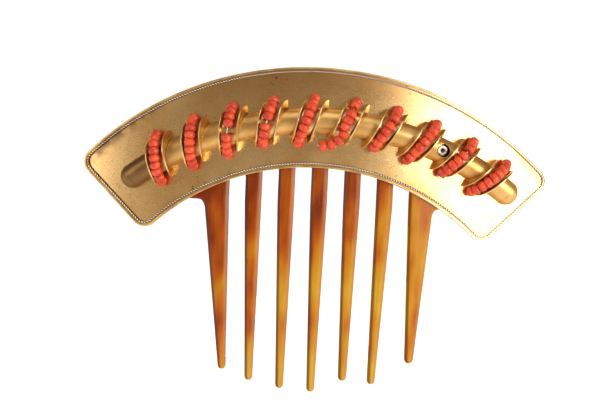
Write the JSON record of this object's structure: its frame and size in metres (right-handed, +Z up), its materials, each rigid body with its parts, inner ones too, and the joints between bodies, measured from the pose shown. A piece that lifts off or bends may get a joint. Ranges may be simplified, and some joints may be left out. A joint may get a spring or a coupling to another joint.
{
  "type": "decorative hair comb",
  "caption": "Arched gilt hair comb with a half-round rod wound by channels of faceted coral beads, above a row of tapering horn tines.",
  "frame": {"origin": "middle tine's mid-thickness on the comb's middle line, level with the outer tines' shoulders", "axes": "+X to the right as seen from the decorated face, +Y out of the back towards the head, +Z up; the tines point along -Z"},
  "size_m": [0.1248, 0.0206, 0.0856],
  "materials": {
    "gilt_plate": "polished gilt with fine scratches and small tarnish spots",
    "gilt_edging": "worn gilt with dark tarnish in the twist",
    "gilt_rod": "polished gilt, bronze-brown towards the ends",
    "gilt_channel": "thin gilt sheet, paler inside",
    "red_coral": "polished, cut with facets",
    "silver_wire": "drawn and dull",
    "white_metal": "satin",
    "blonde_horn": "polished horn, mottled red-brown to honey",
    "brass_fixing": "hammered"
  },
  "bodies": {
    "comb": {"horn_comb": "blonde_horn", "face_plate": "gilt_plate", "rim_strip": "gilt_edging", "edge_lug": "gilt_edging", "border_wire": "gilt_edging", "rod_tube": "gilt_rod", "rod_cap_left": "gilt_rod", "rod_cap_right": "gilt_rod", "tubular_rivet": "white_metal", "plate_pegs": "brass_fixing", "peg_washers": "brass_fixing", "channel_1": "gilt_channel", "channel_2": "gilt_channel", "channel_3": "gilt_channel", "channel_4": "gilt_channel", "channel_5": "gilt_channel", "channel_6": "gilt_channel", "channel_7": "gilt_channel", "channel_8": "gilt_channel", "channel_9": "gilt_channel", "channel_10": "gilt_channel", "bead_wire_1": "silver_wire", "bead_wire_2": "silver_wire", "bead_wire_3": "silver_wire", "bead_wire_4": "silver_wire", "bead_wire_5": "silver_wire", "bead_wire_6": "silver_wire", "bead_wire_7": "silver_wire", "bead_wire_8": "silver_wire", "bead_wire_9": "silver_wire", "bead_wire_10": "silver_wire", "coral_1": "red_coral", "coral_2": "red_coral", "coral_3_lower": "red_coral", "coral_4_lower": "red_coral", "coral_5": "red_coral", "coral_6_lower": "red_coral", "coral_6_loose": "red_coral", "coral_7_lower": "red_coral", "coral_8": "red_coral", "coral_9_lower": "red_coral", "coral_10": "red_coral"},
    "upper_beads_3": {"coral_3_upper": "red_coral"},
    "upper_beads_4": {"coral_4_upper": "red_coral"},
    "upper_beads_6": {"coral_6_upper": "red_coral"},
    "upper_beads_7": {"coral_7_upper": "red_coral"},
    "upper_beads_9": {"coral_9_upper": "red_coral"}
  },
  "joints": [
    {"name": "beads_3_slide", "type": "hinge", "parent": "comb", "child": "upper_beads_3", "pos_m": [-0.02373, 0.00144, 0.01839], "axis": [0.9866, -0.1471, -0.071], "range_deg": [0, 14.5]},
    {"name": "beads_4_slide", "type": "hinge", "parent": "comb", "child": "upper_beads_4", "pos_m": [-0.01403, 0.00027, 0.02073], "axis": [0.9782, -0.0845, -0.1897], "range_deg": [0, 7]},
    {"name": "beads_6_slide", "type": "hinge", "parent": "comb", "child": "upper_beads_6", "pos_m": [0.00607, -0.00023, 0.02172], "axis": [0.9064, 0.0359, -0.421], "range_deg": [0, 8.5]},
    {"name": "beads_7_slide", "type": "hinge", "parent": "comb", "child": "upper_beads_7", "pos_m": [0.01616, 0.00048, 0.02032], "axis": [0.8451, 0.0867, -0.5276], "range_deg": [0, 3.5]},
    {"name": "beads_9_slide", "type": "hinge", "parent": "comb", "child": "upper_beads_9", "pos_m": [0.03515, 0.0036, 0.01392], "axis": [0.6854, 0.1556, -0.7114], "range_deg": [0, 7.5]}
  ]
}
